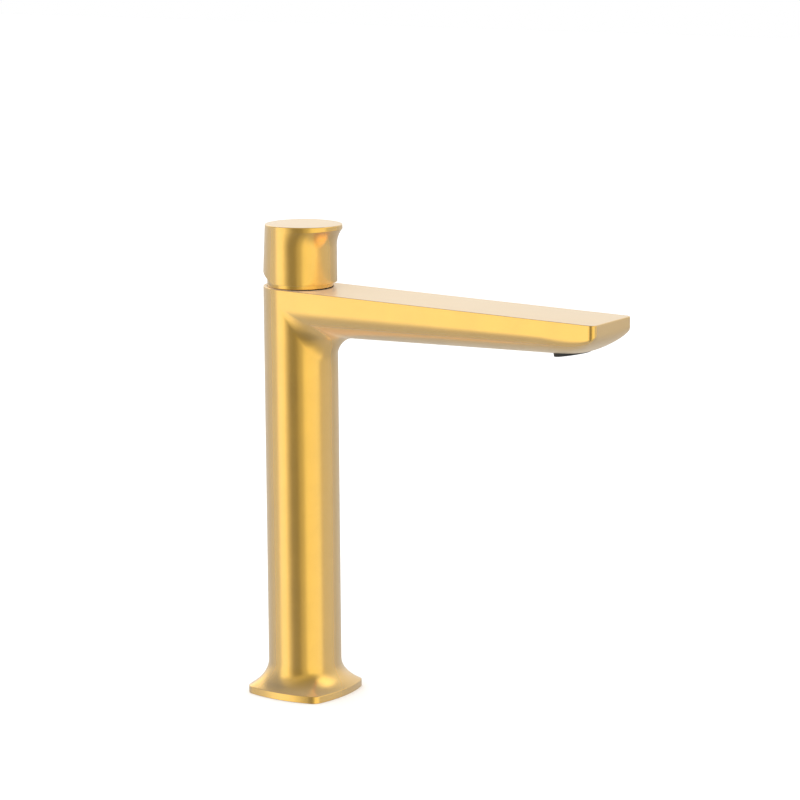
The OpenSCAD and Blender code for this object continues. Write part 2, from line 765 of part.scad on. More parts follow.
module lever() {
    socket_w = spindle_w + 2 * running_gap;
    back_y = lever_back(pivot_z + grub_rise - skirt_z);
    color("#c9a45c") difference() {
        lever_shell();
        difference() {
            translate([0, 0, pivot_z]) bell(cavity_r, lever_h);
            translate([0, 0, pivot_z + boss_rise]) cylinder(r = boss_r, h = cavity_r);
        }
        translate([-socket_w / 2, -socket_w / 2, pivot_z])
            cube([socket_w, socket_w, spindle_rise]);
        translate([0, 0, pivot_z + grub_rise]) rotate([-90, 0, 0]) {
            cylinder(r = grub_r + running_gap, h = lever_d);
            translate([0, 0, back_y - plug_t]) cylinder(r = plug_r, h = lever_d);
        }
        translate([-lever_d, relief_start, skirt_z])
            rotate([lever_tilt + relief_spare, 0, 0])
                translate([0, -PAST, -lever_d]) cube([2 * lever_d, 2 * lever_d, lever_d]);
    }
}

module grub_screw() {
    color("#8a8a8a") translate([0, spindle_w / 2, pivot_z + grub_rise]) rotate([-90, 0, 0])
        difference() {
            cylinder(r = grub_r, h = grub_len);
            translate([0, 0, grub_len - grub_key_depth])
                cylinder(r = grub_key / 2, h = grub_key_depth + PAST, $fn = 6);
        }
}

module screw_plug() {
    back_y = lever_back(pivot_z + grub_rise - skirt_z);
    color("#c9a45c") translate([0, back_y - plug_t, pivot_z + grub_rise]) rotate([-90, 0, 0])
        cylinder(r = plug_r, h = plug_t + slide_gap);
}

// The aerator, in its own frame: its face is at 0 and the water comes from above

module aerator_housing() {
    inner_r = aerator_r - aerator_wall;
    color("#1c1c1c") at_aerator() difference() {
        cylinder(r = aerator_r, h = aerator_h);
        translate([0, 0, screen_lip_h]) cylinder(r = inner_r, h = aerator_h);
        translate([0, 0, -PAST]) cylinder(r = inner_r - screen_lip, h = aerator_h);
    }
}

// Holes stand in rings round the middle one
module ring_holes(pitch, rings, hole_r, h) {
    translate([0, 0, -PAST]) {
        cylinder(r = hole_r, h = h + 2 * PAST);
        for (i = [1 : rings], j = [0 : 6 * i - 1])
            rotate(j * 60 / i) translate([pitch * i, 0, 0]) cylinder(r = hole_r, h = h + 2 * PAST);
    }
}

module aerator_screen() {
    inner_r = aerator_r - aerator_wall;
    rings = floor((inner_r - screen_hole_r) / screen_pitch);
    color("#333333") at_aerator() translate([0, 0, screen_lip_h]) difference() {
        cylinder(r = inner_r, h = screen_t);
        ring_holes(screen_pitch, rings, screen_hole_r, screen_t);
    }
}

module flow_regulator() {
    color("#555555") at_aerator() translate([0, 0, screen_lip_h + screen_t]) difference() {
        cylinder(r = aerator_r - aerator_wall, h = regulator_t);
        ring_holes(regulator_pitch, 1, regulator_hole_r, regulator_t);
    }
}

module aerator_seal() {
    color("#222222") at_aerator() translate([0, 0, aerator_h])
        washer(aerator_r, aerator_r - aerator_seal_w, aerator_seal_t);
}

body();
base_gasket();
cartridge_base();
cartridge_seal();
port_seals();
fixed_disc();
moving_disc();
disc_carrier();
swivel_guide();
guide_seal();
pivot_pin();
cartridge_housing();
retaining_nut();
dome();
spindle();
lever();
grub_screw();
screw_plug();
aerator_housing();
aerator_screen();
flow_regulator();
aerator_seal();
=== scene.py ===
import math

import bpy
from mathutils import Matrix, Vector


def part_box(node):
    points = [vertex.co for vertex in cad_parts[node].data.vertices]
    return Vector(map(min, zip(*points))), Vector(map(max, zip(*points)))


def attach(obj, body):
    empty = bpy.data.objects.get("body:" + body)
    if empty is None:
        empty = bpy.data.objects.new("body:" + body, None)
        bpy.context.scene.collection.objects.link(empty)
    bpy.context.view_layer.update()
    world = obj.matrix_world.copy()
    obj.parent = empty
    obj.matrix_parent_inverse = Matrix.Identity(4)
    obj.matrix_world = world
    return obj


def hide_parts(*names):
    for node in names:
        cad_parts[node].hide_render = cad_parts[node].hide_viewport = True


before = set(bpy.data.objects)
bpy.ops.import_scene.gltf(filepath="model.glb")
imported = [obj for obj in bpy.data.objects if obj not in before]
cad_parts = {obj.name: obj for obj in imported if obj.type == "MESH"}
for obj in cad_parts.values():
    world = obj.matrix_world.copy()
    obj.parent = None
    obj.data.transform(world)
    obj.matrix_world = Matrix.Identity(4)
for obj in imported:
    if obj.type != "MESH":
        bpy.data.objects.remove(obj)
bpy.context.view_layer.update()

MM = 0.001


# ---------------------------------------------------------------- body
# The body is one brass casting: a bowed square foot that flares into a round column, and a
# flat-topped spout with a rounded underside that grows out of it. It is ground, brushed and
# plated in satin gold, so it has no seam.

COLUMN_R = 23 * MM
BODY_TOP = 259 * MM
FALL = math.radians(1.2)

FOOT_HALF = 30.5 * MM
FOOT_SIDE_R = 85 * MM
FOOT_CORNER_R = 7 * MM
FOOT_EDGE = 4.5 * MM
FLARE_TOP = 20.5 * MM
FLARE_TURN = math.radians(52)

REACH = 221.5 * MM
NOSE = 36 * MM
NOSE_START = REACH - NOSE
ROOT_DEPTH, END_DEPTH, TIP_DEPTH = 29.6 * MM, 22.4 * MM, 6.4 * MM
ROOT_SIDE, END_SIDE, TIP_SIDE = 10.5 * MM, 8.6 * MM, 5.6 * MM
TIP_SQUARENESS = 0.45
TIP_CORNER_R = 3.5 * MM
ARMPIT_R = 18 * MM

GOLD = (1.0, 0.58, 0.08, 1)
GOLD_ROUGHNESS = 0.22

TOP_ROUND, DECK_ROUND, PLATE_ROUND = 0.45 * MM, 0.35 * MM, 0.3 * MM

NEAR = 0.01 * MM
MERGE = 0.005 * MM
AROUND = 64
FLARE_ROWS, COLUMN_ROWS, ARMPIT_ROWS, UNDER_ROWS, NOSE_ROWS, SIDE_ROWS = 16, 24, 24, 36, 20, 4


def deselect_all():
    bpy.ops.object.select_all(action="DESELECT")


def shaped_grid(name, columns, rows, place):
    """A grid whose points go where place says, from their shares across and along."""
    deselect_all()
    bpy.ops.mesh.primitive_grid_add(x_subdivisions=columns, y_subdivisions=rows, size=1)
    piece = bpy.context.object
    piece.name = name
    for vertex in piece.data.vertices:
        vertex.co = place(vertex.co.x + 0.5, vertex.co.y + 0.5)
    return piece


def join_shell(name, parts):
    """Joins grids along their shared edges, and closes what is left open with flat faces."""
    deselect_all()
    for part in parts:
        part.select_set(True)
    bpy.context.view_layer.objects.active = parts[0]
    bpy.ops.object.join()
    piece = bpy.context.object
    piece.name = name
    bpy.ops.object.mode_set(mode="EDIT")
    bpy.ops.mesh.select_all(action="SELECT")
    bpy.ops.mesh.remove_doubles(threshold=MERGE)
    bpy.ops.mesh.delete_loose()
    bpy.ops.mesh.select_all(action="DESELECT")
    bpy.ops.mesh.select_non_manifold()
    bpy.ops.mesh.fill_holes(sides=0)
    bpy.ops.mesh.select_all(action="SELECT")
    bpy.ops.mesh.normals_make_consistent(inside=False)
    bpy.ops.object.mode_set(mode="OBJECT")
    return piece


def round_edges(piece, chosen, width, segments=3):
    """Bevels the edges whose two ends both pass chosen."""
    mesh = piece.data
    deselect_all()
    bpy.context.view_layer.objects.active = piece
    piece.select_set(True)
    bpy.ops.object.mode_set(mode="EDIT")
    bpy.ops.mesh.select_mode(type="EDGE")
    bpy.ops.mesh.select_all(action="DESELECT")
    bpy.ops.object.mode_set(mode="OBJECT")
    for edge in mesh.edges:
        a, b = (mesh.vertices[i].co for i in edge.vertices)
        edge.select = chosen(a) and chosen(b)
    bpy.ops.object.mode_set(mode="EDIT")
    bpy.ops.mesh.bevel(offset=width, segments=segments, profile=0.5, clamp_overlap=False)
    bpy.ops.object.mode_set(mode="OBJECT")


def combine(piece, tool, operation="DIFFERENCE"):
    """Cuts piece with tool, or adds tool to it, and removes tool."""
    modifier = piece.modifiers.new("Cut", "BOOLEAN")
    modifier.operation = operation
    modifier.solver = "EXACT"
    modifier.object = tool
    deselect_all()
    bpy.context.view_layer.objects.active = piece
    bpy.ops.object.modifier_apply(modifier=modifier.name)
    bpy.data.objects.remove(tool)


def turned(r, low, high, x=0.0, y=0.0, sides=96):
    """A plain upright cylinder, for cutting with."""
    deselect_all()
    bpy.ops.mesh.primitive_cylinder_add(
        vertices=sides, radius=r, depth=high - low, location=(x, y, (low + high) / 2))
    bpy.ops.object.transform_apply(location=True, rotation=False, scale=False)
    return bpy.context.object


def finish_shading(piece, angle=35):
    """Smooth curves, with flat faces kept flat up to their edges."""
    deselect_all()
    bpy.context.view_layer.objects.active = piece
    piece.select_set(True)
    bpy.ops.object.shade_smooth_by_angle(angle=math.radians(angle))
    modifier = piece.modifiers.new("Flat faces", "WEIGHTED_NORMAL")
    modifier.keep_sharp = True
    bpy.ops.object.modifier_apply(modifier=modifier.name)


def top_z(d):
    return BODY_TOP - d * math.tan(FALL)


def nose_rise(d):
    return 1 if d <= NOSE_START else math.sqrt(max(0, 1 - ((d - NOSE_START) / NOSE) ** 2))


def spout_depth(d):
    share = min(1, (d - COLUMN_R) / (NOSE_START - COLUMN_R))
    return TIP_DEPTH + (ROOT_DEPTH + (END_DEPTH - ROOT_DEPTH) * share - TIP_DEPTH) * nose_rise(d)


def spout_side(d):
    share = min(1, (d - COLUMN_R) / (NOSE_START - COLUMN_R))
    return TIP_SIDE + (ROOT_SIDE + (END_SIDE - ROOT_SIDE) * share - TIP_SIDE) * nose_rise(d)


def spout_half(d):
    into = d - REACH + TIP_CORNER_R
    if into <= 0:
        return COLUMN_R
    return COLUMN_R - TIP_CORNER_R + math.sqrt(max(0, TIP_CORNER_R ** 2 - into ** 2))


def under_z(d, turn):
    """Height of the spout's underside, at a turn of 0 in the middle and a quarter at the side."""
    squareness = 1 - (1 - TIP_SQUARENESS) * max(0, d - NOSE_START) / NOSE
    bow = max(0, math.cos(turn)) ** squareness
    return top_z(d) - spout_side(d) - (spout_depth(d) - spout_side(d)) * bow


def foot_r(turn):
    """Distance from the axis to the foot's edge: a bowed square with round corners."""
    d = FOOT_SIDE_R - FOOT_HALF
    k = (-d + math.sqrt(2 * (FOOT_SIDE_R - FOOT_CORNER_R) ** 2 - d * d)) / 2
    corner_from = math.atan2(k, k + d * FOOT_CORNER_R / FOOT_SIDE_R)
    quarter = math.pi / 2
    u = abs((turn + quarter / 2) % quarter - quarter / 2)
    if u < corner_from:
        return math.sqrt(FOOT_SIDE_R ** 2 - (d * math.sin(u)) ** 2) - d * math.cos(u)
    across = k * (math.cos(u) - math.sin(u))
    return k * (math.cos(u) + math.sin(u)) + math.sqrt(FOOT_CORNER_R ** 2 - across ** 2)


def foot_point(turn, row):
    """A point on the foot's edge or on the flare, with turn 0 under the spout."""
    edge = foot_r(turn)
    if row == 0:
        r, z = edge, 0.0
    else:
        bend = FLARE_TURN * (1 - (row - 1) / FLARE_ROWS)
        r = COLUMN_R + (edge - COLUMN_R) * (1 - math.cos(bend)) / (1 - math.cos(FLARE_TURN))
        z = FLARE_TOP - (FLARE_TOP - FOOT_EDGE) * math.sin(bend) / math.sin(FLARE_TURN)
    return Vector((r * math.sin(turn), -r * math.cos(turn), z))


FOOT_ROWS = FLARE_ROWS + 1
FRONT_ROWS = FOOT_ROWS + COLUMN_ROWS + ARMPIT_ROWS + UNDER_ROWS + NOSE_ROWS


def nose_place(share):
    """Distance from the axis of a row on the nose, closer together towards the tip."""
    return NOSE_START + NOSE * math.sin(share * math.pi / 2)


def front_point(across, along):
    """The front of the casting: up the column, round the armpit, and out under the spout."""
    turn = (across - 0.5) * math.pi
    row = round(along * FRONT_ROWS)
    if row <= FOOT_ROWS:
        return foot_point(turn, row)
    x, front = COLUMN_R * math.sin(turn), COLUMN_R * max(0, math.cos(turn))
    r = ARMPIT_R * max(0, math.cos(turn))
    row -= FOOT_ROWS
    if row <= COLUMN_ROWS:
        high = under_z(front, turn) - r
        return Vector((x, -front, FLARE_TOP + (high - FLARE_TOP) * row / COLUMN_ROWS))
    row -= COLUMN_ROWS
    if row <= ARMPIT_ROWS:
        bend = row / ARMPIT_ROWS * math.pi / 2
        d = front + r * (1 - math.cos(bend))
        return Vector((x, -d, under_z(d, turn) - r * (1 - math.sin(bend))))
    row -= ARMPIT_ROWS
    start = front + r
    d = start + (NOSE_START - start) * row / UNDER_ROWS if row <= UNDER_ROWS else nose_place(
        (row - UNDER_ROWS) / NOSE_ROWS)
    return Vector((spout_half(d) * math.sin(turn), -d, under_z(d, turn)))


def back_point(across, along):
    """The back of the casting, from the deck to the sloping top."""
    turn = (across + 0.5) * math.pi
    row = round(along * (FOOT_ROWS + COLUMN_ROWS + SIDE_ROWS))
    if row <= FOOT_ROWS:
        return foot_point(turn, row)
    row -= FOOT_ROWS
    x, y = COLUMN_R * math.sin(turn), -COLUMN_R * math.cos(turn)
    side_low = under_z(0, math.pi / 2)
    if row <= COLUMN_ROWS:
        return Vector((x, y, FLARE_TOP + (side_low - FLARE_TOP) * row / COLUMN_ROWS))
    share = (row - COLUMN_ROWS) / SIDE_ROWS
    return Vector((x, y, side_low + (top_z(-y) - side_low) * share))


def side_point(side):
    """One flat side of the spout, from the column to the tip."""
    def place(across, along):
        row = round(across * (UNDER_ROWS + NOSE_ROWS))
        d = NOSE_START * row / UNDER_ROWS if row <= UNDER_ROWS else nose_place(
            (row - UNDER_ROWS) / NOSE_ROWS)
        low = top_z(d) - spout_side(d)
        return Vector((side * spout_half(d), -d, low + (top_z(d) - low) * along))
    return place


def tip_point(across, along):
    turn = (across - 0.5) * math.pi
    low = under_z(REACH, turn)
    return Vector((spout_half(REACH) * math.sin(turn), -REACH, low + (top_z(REACH) - low) * along))


casting = join_shell("body_casting", [
    shaped_grid("front", AROUND, FRONT_ROWS, front_point),
    shaped_grid("back", AROUND, FOOT_ROWS + COLUMN_ROWS + SIDE_ROWS, back_point),
    shaped_grid("left", UNDER_ROWS + NOSE_ROWS, SIDE_ROWS, side_point(-1)),
    shaped_grid("right", UNDER_ROWS + NOSE_ROWS, SIDE_ROWS, side_point(1)),
    shaped_grid("tip", AROUND, SIDE_ROWS, tip_point),
])
round_edges(casting, lambda p: abs(p.z - top_z(-p.y)) < NEAR, TOP_ROUND)
round_edges(casting, lambda p: abs(p.z) < NEAR, DECK_ROUND)
round_edges(casting, lambda p: abs(p.z - FOOT_EDGE) < NEAR, PLATE_ROUND)

# Its bores: the way for the hoses, the boss for the fixing stud, the sealing ring's groove, the
# hoses' inlets, the cartridge's chamber with the level seat for the dome, and the aerator's hole.
HOSE_WAY_R = 19.5 * MM
BLOCK_Z, CHAMBER_Z, THREAD_Z, SEAT_Z = 222 * MM, 241 * MM, 249.5 * MM, 258.4 * MM
CHAMBER_R, THREAD_R, SEAT_R = 17.75 * MM, 19 * MM, 20.9 * MM
STUD_Y, STUD_R, STUD_BOSS_R, STUD_TOP, STUD_ROOF = -13.5 * MM, 3.4 * MM, 6.4 * MM, 18.5 * MM, 3 * MM
INLET_R, INLET_X, INLET_Y, INLET_DEPTH = 4.5 * MM, 9.5 * MM, -4.5 * MM, 12 * MM
GASKET_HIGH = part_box("base_gasket")[1]
GASKET_R, GASKET_W = GASKET_HIGH.x, 4 * MM
AERATOR_Y = 194.5 * MM
AERATOR_TILT = math.radians(10)
AERATOR_R, AERATOR_H, AERATOR_DROP = 11.2 * MM, 7.8 * MM, 0.4 * MM
AERATOR_GAP, AERATOR_HOLE = 0.1 * MM, 9 * MM
AERATOR_FACE = Vector((0, -AERATOR_Y, under_z(AERATOR_Y, 0) - AERATOR_DROP))
AERATOR_FRAME = Matrix.Translation(AERATOR_FACE) @ Matrix.Rotation(-AERATOR_TILT, 4, "X")
PAST = 2 * MM


def tilted(piece, matrix):
    """Puts a piece made at the origin in its place, in its mesh."""
    piece.data.transform(matrix)
    piece.data.update()
    return piece


combine(casting, turned(HOSE_WAY_R, -PAST, BLOCK_Z))
combine(casting, turned(STUD_BOSS_R, GASKET_HIGH.z, STUD_TOP, y=STUD_Y, sides=48), "UNION")
combine(casting, turned(STUD_R, -PAST, STUD_TOP - STUD_ROOF, y=STUD_Y, sides=48))
groove = turned(GASKET_R, -PAST, GASKET_HIGH.z)
combine(groove, turned(GASKET_R - GASKET_W, -2 * PAST, 2 * PAST))
combine(casting, groove)
combine(casting, turned(SEAT_R, SEAT_Z, BODY_TOP + PAST))
combine(casting, turned(CHAMBER_R, CHAMBER_Z, BODY_TOP))
combine(casting, turned(THREAD_R, THREAD_Z, BODY_TOP))
combine(casting, tilted(turned(AERATOR_R + AERATOR_GAP, -3 * PAST, AERATOR_HOLE), AERATOR_FRAME))
for side in (-1, 1):
    combine(casting, turned(
        INLET_R, BLOCK_Z - PAST, BLOCK_Z + INLET_DEPTH, side * INLET_X, INLET_Y, 48))
finish_shading(casting)


PATCHES, CLOUDS = 35, 60


def mix_noise(nodes, links, coordinates, scale, low, high, detail=3, stretch=(1, 1, 1)):
    """Noise of a size in waves per metre, brought between two values."""
    mapping = nodes.new("ShaderNodeMapping")
    mapping.inputs["Scale"].default_value = stretch
    noise = nodes.new("ShaderNodeTexNoise")
    noise.inputs["Scale"].default_value = scale
    noise.inputs["Detail"].default_value = detail
    spread = nodes.new("ShaderNodeMapRange")
    spread.inputs["From Min"].default_value = 0.3
    spread.inputs["From Max"].default_value = 0.7
    spread.inputs["To Min"].default_value = low
    spread.inputs["To Max"].default_value = high
    links.new(coordinates, mapping.inputs["Vector"])
    links.new(mapping.outputs["Vector"], noise.inputs["Vector"])
    links.new(noise.outputs["Fac"], spread.inputs["Value"])
    return spread.outputs["Result"]


def finish_of(name, colour, metallic, roughness, vary, grain, bump, tint=0.06, stretch=(1, 1, 1)):
    """A material whose roughness, shade and surface all vary a little over the piece.

    vary is how far the roughness strays, grain the size of the finest marks in waves per metre,
    and bump their height in metres. PATCHES and CLOUDS are waves per metre too.
    """
    material = bpy.data.materials.new(name)
    material.use_nodes = True
    nodes, links = material.node_tree.nodes, material.node_tree.links
    shader = nodes["Principled BSDF"]
    shader.inputs["Metallic"].default_value = metallic
    coordinates = nodes.new("ShaderNodeTexCoord").outputs["Object"]
    patches = mix_noise(nodes, links, coordinates, PATCHES, roughness - vary, roughness + vary)
    marks = mix_noise(nodes, links, coordinates, grain, -vary / 2, vary / 2, 2, stretch)
    add = nodes.new("ShaderNodeMath")
    add.operation = "ADD"
    links.new(patches, add.inputs[0])
    links.new(marks, add.inputs[1])
    links.new(add.outputs["Value"], shader.inputs["Roughness"])
    shade = nodes.new("ShaderNodeMix")
    shade.data_type = "RGBA"
    shade.inputs["A"].default_value = colour
    shade.inputs["B"].default_value = [c * (1 - tint) for c in colour[:3]] + [1]
    cloud = mix_noise(nodes, links, coordinates, CLOUDS, 0, 1)
    links.new(cloud, shade.inputs["Factor"])
    links.new(shade.outputs["Result"], shader.inputs["Base Color"])
    lift = nodes.new("ShaderNodeBump")
    lift.inputs["Strength"].default_value = 1
    lift.inputs["Distance"].default_value = bump
    height = mix_noise(nodes, links, coordinates, grain, 0, 1, 2, stretch)
    links.new(height, lift.inputs["Height"])
    links.new(lift.outputs["Normal"], shader.inputs["Normal"])
    return material


def paint(piece, material):
    piece.data.materials.clear()
    piece.data.materials.append(material)


# The satin gold has a fine upright grain, a clear coat, and a haze that grows where the surface turns
# away. The bores, the seat under the dome and the retaining nut are painted near-black brass, a painted
# shade that darkens the gap under the dome.
HAZE = {"From Min": 0.02, "From Max": 0.2, "To Min": 0.05, "To Max": 0.55}
UPRIGHT = (1, 1, 0.06)

satin_gold = finish_of("satin_gold", GOLD, 1, GOLD_ROUGHNESS, 0.03, 2600, 0.0000012, 0.05, UPRIGHT)
lacquered = satin_gold.node_tree.nodes["Principled BSDF"].inputs
lacquered["Coat Weight"].default_value = 1
lacquered["Coat IOR"].default_value = 1.5
lacquered["Coat Roughness"].default_value = 0.24
lacquered["Sheen Roughness"].default_value = 0.8
lacquered["Sheen Tint"].default_value = (1, 0.86, 0.66, 1)
haze = satin_gold.node_tree.nodes.new("ShaderNodeMapRange")
for name, number in HAZE.items():
    haze.inputs[name].default_value = number
slant = satin_gold.node_tree.nodes.new("ShaderNodeLayerWeight")
satin_gold.node_tree.links.new(slant.outputs["Facing"], haze.inputs["Value"])
satin_gold.node_tree.links.new(haze.outputs["Result"], lacquered["Sheen Weight"])
painted_shade_brass = finish_of("painted_shade_brass", (0.10, 0.06, 0.02, 1), 1, 0.5, 0.06, 2200, 0.000004, 0.2)
paint(casting, satin_gold)
casting.data.materials.append(painted_shade_brass)
# Painted shade: the faces in the seat and the bores below the top take the near-black brass, so the gap
# under the dome shows dark.
for face in casting.data.polygons:
    middle = face.center
    if math.hypot(middle.x, middle.y) < SEAT_R + NEAR and NEAR < middle.z < BODY_TOP - NEAR:
        face.material_index = 1
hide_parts("body")
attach(casting, "fixed")


# ---------------------------------------------------------------- dome
# The dome is a turned brass cover over the cartridge, pressed on the retaining nut. Its upright
# rim is the ring seen under the lever, over a thin dark gap; the ball above it clears the lever.

DOME_LOW, DOME_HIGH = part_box("dome")
DOME_R = DOME_HIGH.x
DOME_WALL = 2 * MM
PIVOT_Z = 263.5 * MM
OPENING_R = 15.8 * MM
RIM_EDGE = 0.35 * MM
SPIN_MERGE = 0.002 * MM


def spun(name, outline, steps=128):
    """A closed outline of (radius, height) points, spun round the axis."""
    deselect_all()
    bpy.ops.mesh.primitive_circle_add(vertices=len(outline), fill_type="NOTHING")
    piece = bpy.context.object
    piece.name = name
    for vertex, (r, z) in zip(piece.data.vertices, outline):
        vertex.co = (r, 0, z)
    bpy.ops.object.mode_set(mode="EDIT")
    bpy.ops.mesh.select_all(action="SELECT")
    bpy.ops.mesh.spin(steps=steps, angle=2 * math.pi, center=(0, 0, 0), axis=(0, 0, 1))
    bpy.ops.mesh.select_all(action="SELECT")
    bpy.ops.mesh.remove_doubles(threshold=SPIN_MERGE)
    bpy.ops.mesh.normals_make_consistent(inside=False)
    bpy.ops.object.mode_set(mode="OBJECT")
    return piece


def arc(middle_r, middle_z, r, start, end, steps):
    """Points of an arc in an outline, with its angles in degrees from level."""
    turns = [math.radians(start + (end - start) * i / steps) for i in range(steps + 1)]
    return [(middle_r + r * math.cos(t), middle_z + r * math.sin(t)) for t in turns]


opening_out = math.degrees(math.acos(OPENING_R / DOME_R))
opening_in = math.degrees(math.acos(OPENING_R / (DOME_R - DOME_WALL)))
dome = spun("dome_cover", [
    *arc(DOME_R - RIM_EDGE, DOME_LOW.z + RIM_EDGE, RIM_EDGE, -90, 0, 4),
    *arc(0, PIVOT_Z, DOME_R, 0, opening_out - 1, 18),
    *arc(0, PIVOT_Z, DOME_R - DOME_WALL, opening_in, 0, 12),
    (DOME_R - DOME_WALL, DOME_LOW.z),
])
finish_shading(dome)
paint(dome, satin_gold)
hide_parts("dome")
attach(dome, "fixed")


# ---------------------------------------------------------------- lever
# The lever is a cast brass cap with a flat top. Its front swells into a lip to lift it by, its
# back leans in, and a slanting relief behind lets it tilt. It is finished as the body is.

SKIRT_Z, LEVER_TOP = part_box("lever")[0].z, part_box("lever")[1].z
LEVER_H = LEVER_TOP - SKIRT_Z
LEVER_R = 23 * MM
LIP_START, LIP_EDGE, LIP_OUT = 22.5 * MM, 33.3 * MM, 5 * MM
LIP_TURN = math.radians(40)
BACK_LEAN, LEAN_START = 2.1 * MM, 6 * MM
RELIEF_Y, RELIEF_SLOPE = 4.9 * MM, math.radians(26.6)
CAVITY_R = DOME_R + 0.6 * MM
BOSS_R, BOSS_RISE = 7.5 * MM, 15.5 * MM
TOP_EDGE, SKIRT_EDGE = 0.5 * MM, 0.25 * MM
SOCKET_GAP, GRUB_HOLE_R, GRUB_FROM, PAST_BACK = 0.1 * MM, 2.5 * MM, 3 * MM, 40 * MM
SLAB = 100 * MM
LEVER_AROUND, SKIRT_ROWS, LIP_ROWS = 128, 12, 16


def lever_front(h):
    if h <= LIP_START:
        return LEVER_R
    if h >= LIP_EDGE:
        return LEVER_R + LIP_OUT
    bend = math.asin(math.sin(LIP_TURN) * (h - LIP_START) / (LIP_EDGE - LIP_START))
    return LEVER_R + LIP_OUT * (1 - math.cos(bend)) / (1 - math.cos(LIP_TURN))


def lever_back(h):
    return LEVER_R - BACK_LEAN * max(0, h - LEAN_START) / (LEVER_H - LEAN_START)


def lever_height(row):
    """Heights of the rows: the skirt, then the hollow under the lip, then its upright edge."""
    if row <= SKIRT_ROWS:
        return LIP_START * row / SKIRT_ROWS
    row -= SKIRT_ROWS
    if row <= LIP_ROWS:
        bend = LIP_TURN * row / LIP_ROWS
        return LIP_START + (LIP_EDGE - LIP_START) * math.sin(bend) / math.sin(LIP_TURN)
    return LEVER_H


def lever_point(across, along):
    turn = across * 2 * math.pi
    h = lever_height(round(along * (SKIRT_ROWS + LIP_ROWS + 1)))
    deep = lever_front(h) if math.sin(turn) < 0 else lever_back(h)
    return Vector((LEVER_R * math.cos(turn), deep * math.sin(turn), SKIRT_Z + h))


lever = join_shell("lever_cap", [
    shaped_grid("wall", LEVER_AROUND, SKIRT_ROWS + LIP_ROWS + 1, lever_point)])
round_edges(lever, lambda p: abs(p.z - LEVER_TOP) < NEAR, TOP_EDGE, 4)
round_edges(lever, lambda p: abs(p.z - SKIRT_Z) < NEAR, SKIRT_EDGE, 2)

hollow = spun("hollow", [
    (0, SKIRT_Z - 3 * PAST), (CAVITY_R, SKIRT_Z - 3 * PAST),
    *arc(0, PIVOT_Z, CAVITY_R, 0, 90, 24)])
combine(hollow, turned(BOSS_R, PIVOT_Z + BOSS_RISE, PIVOT_Z + 2 * CAVITY_R))
combine(lever, hollow)
deselect_all()
bpy.ops.mesh.primitive_cube_add(size=1)
relief = bpy.context.object
relief.data.transform(
    Matrix.Translation((0, RELIEF_Y, SKIRT_Z)) @ Matrix.Rotation(RELIEF_SLOPE, 4, "X")
    @ Matrix.Translation((0, SLAB / 2 - PAST / 2, -SLAB / 2)) @ Matrix.Scale(SLAB, 4))
combine(lever, relief)

# The spindle's square socket, and the plug's seat at the back with the grub screw's hole in it.
SPINDLE_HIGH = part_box("spindle")[1]
PLUG_LOW, PLUG_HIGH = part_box("screw_plug")
PLUG_Z, PLUG_R = (PLUG_LOW.z + PLUG_HIGH.z) / 2, PLUG_HIGH.x
deselect_all()
bpy.ops.mesh.primitive_cube_add(size=1)
socket = bpy.context.object
socket.data.transform(Matrix.Translation((0, 0, (PIVOT_Z + SPINDLE_HIGH.z) / 2)) @ Matrix.Diagonal(
    (2 * SPINDLE_HIGH.x + SOCKET_GAP, 2 * SPINDLE_HIGH.y + SOCKET_GAP, SPINDLE_HIGH.z - PIVOT_Z, 1)))
combine(lever, socket)
TO_BACK = Matrix.Translation((0, 0, PLUG_Z)) @ Matrix.Rotation(math.radians(-90), 4, "X")
combine(lever, tilted(turned(GRUB_HOLE_R, GRUB_FROM, PAST_BACK, sides=32), TO_BACK))
combine(lever, tilted(turned(PLUG_R, PLUG_LOW.y, PAST_BACK, sides=64), TO_BACK))
finish_shading(lever)
paint(lever, satin_gold)
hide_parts("lever")
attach(lever, "handle")


# ---------------------------------------------------------------- screw plug
# A small gold cap pressed into the back of the lever, over the grub screw. Its face is dished
# and its edge is rounded.

PLUG_DISH, PLUG_EDGE, PLUG_GAP, DISH_SHARE = 0.25 * MM, 0.3 * MM, 0.02 * MM, 0.6
plug = spun("screw_cap", [
    (0, PLUG_LOW.y), (PLUG_R - PLUG_GAP, PLUG_LOW.y),
    *arc(PLUG_R - PLUG_GAP - PLUG_EDGE, PLUG_HIGH.y - PLUG_EDGE, PLUG_EDGE, 0, 90, 4),
    (PLUG_R * DISH_SHARE, PLUG_HIGH.y - PLUG_DISH * DISH_SHARE), (0, PLUG_HIGH.y - PLUG_DISH)], 64)
tilted(plug, TO_BACK)
finish_shading(plug)
paint(plug, satin_gold)
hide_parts("screw_plug")
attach(plug, "handle")


# ---------------------------------------------------------------- aerator
# The aerator is a black moulded insert, screwed into the tilted hole under the nose. Its rim has
# notches for a key, and a honeycomb grille closes its mouth.

BLACK = (0.018, 0.018, 0.017, 1)
KEY_NOTCHES, NOTCH_R, NOTCH_DEPTH = 12, 1.0 * MM, 0.9 * MM
INSIDE_R, MOUTH_DEPTH = 9.6 * MM, 2 * MM
MOUTH_R = 8.8 * MM
GRILLE_Z, GRILLE_T = 1.0 * MM, 1.0 * MM
CELL, CELL_WALL, RINGS, CELL_INSIDE = 1.55 * MM, 0.22 * MM, 4, 0.4
RIM_ROUND = 0.5 * MM

